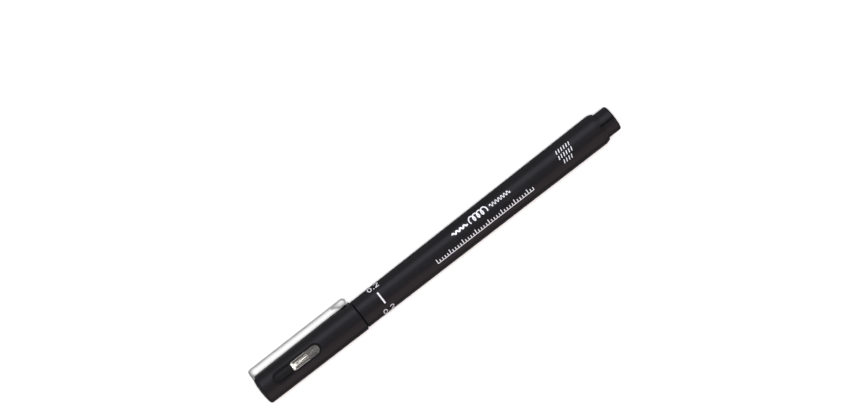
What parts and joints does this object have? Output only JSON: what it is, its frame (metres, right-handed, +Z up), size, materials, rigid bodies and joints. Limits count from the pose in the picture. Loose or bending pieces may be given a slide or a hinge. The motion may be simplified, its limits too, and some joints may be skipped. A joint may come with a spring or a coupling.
{
  "type": "technical pen",
  "caption": "Capped technical pen with a tapered barrel, a steel-needle nib, a windowed cap with a spring-steel clip and a vented rear plug, lying on its clip.",
  "frame": {"origin": "on the surface that the pen lies on, under the middle of its box", "axes": "+X along the pen towards the cap's crown, +Z up, the clip on the -Y side and touching the surface"},
  "size_m": [0.137, 0.0128, 0.0105],
  "materials": {
    "shell_plastic": "satin moulded",
    "trim_plastic": "satin moulded",
    "liner_plastic": "translucent, natural",
    "clip_steel": "brushed spring steel",
    "needle_steel": "drawn and polished",
    "nib_plastic": "ink-stained",
    "ink_fibre": "bonded fibre soaked with ink",
    "film": "thin clear film",
    "print_ink": "pad-printed marks"
  },
  "bodies": {
    "pen_body": {"barrel": "shell_plastic", "grip_section": "trim_plastic", "nib_holder": "trim_plastic", "needle_tube": "needle_steel", "nib_point": "nib_plastic", "feed_rod": "ink_fibre", "ink_reservoir": "ink_fibre", "reservoir_film": "film", "rear_plug": "trim_plastic"},
    "cap_liner": {"inner_cap": "liner_plastic"},
    "cap": {"cap_shell": "shell_plastic", "crown_plug": "trim_plastic"},
    "clip": {"pocket_clip": "clip_steel"}
  },
  "joints": [
    {"name": "cap_pull", "type": "slide", "parent": "pen_body", "child": "cap_liner", "axis": [1, 0, 0], "range_m": [0, 0.035]},
    {"name": "cap_turn", "type": "hinge", "parent": "cap_liner", "child": "cap", "pos_m": [0.05, 0.0012, 0.00525], "axis": [1, 0, 0], "continuous": true},
    {"name": "clip_flex", "type": "hinge", "parent": "cap", "child": "clip", "pos_m": [0.06775, -0.00116, 0.00406], "axis": [0, -0.4499, 0.8931], "range_deg": [0, 4], "stiffness_Nm_per_rad": 0.3}
  ]
}
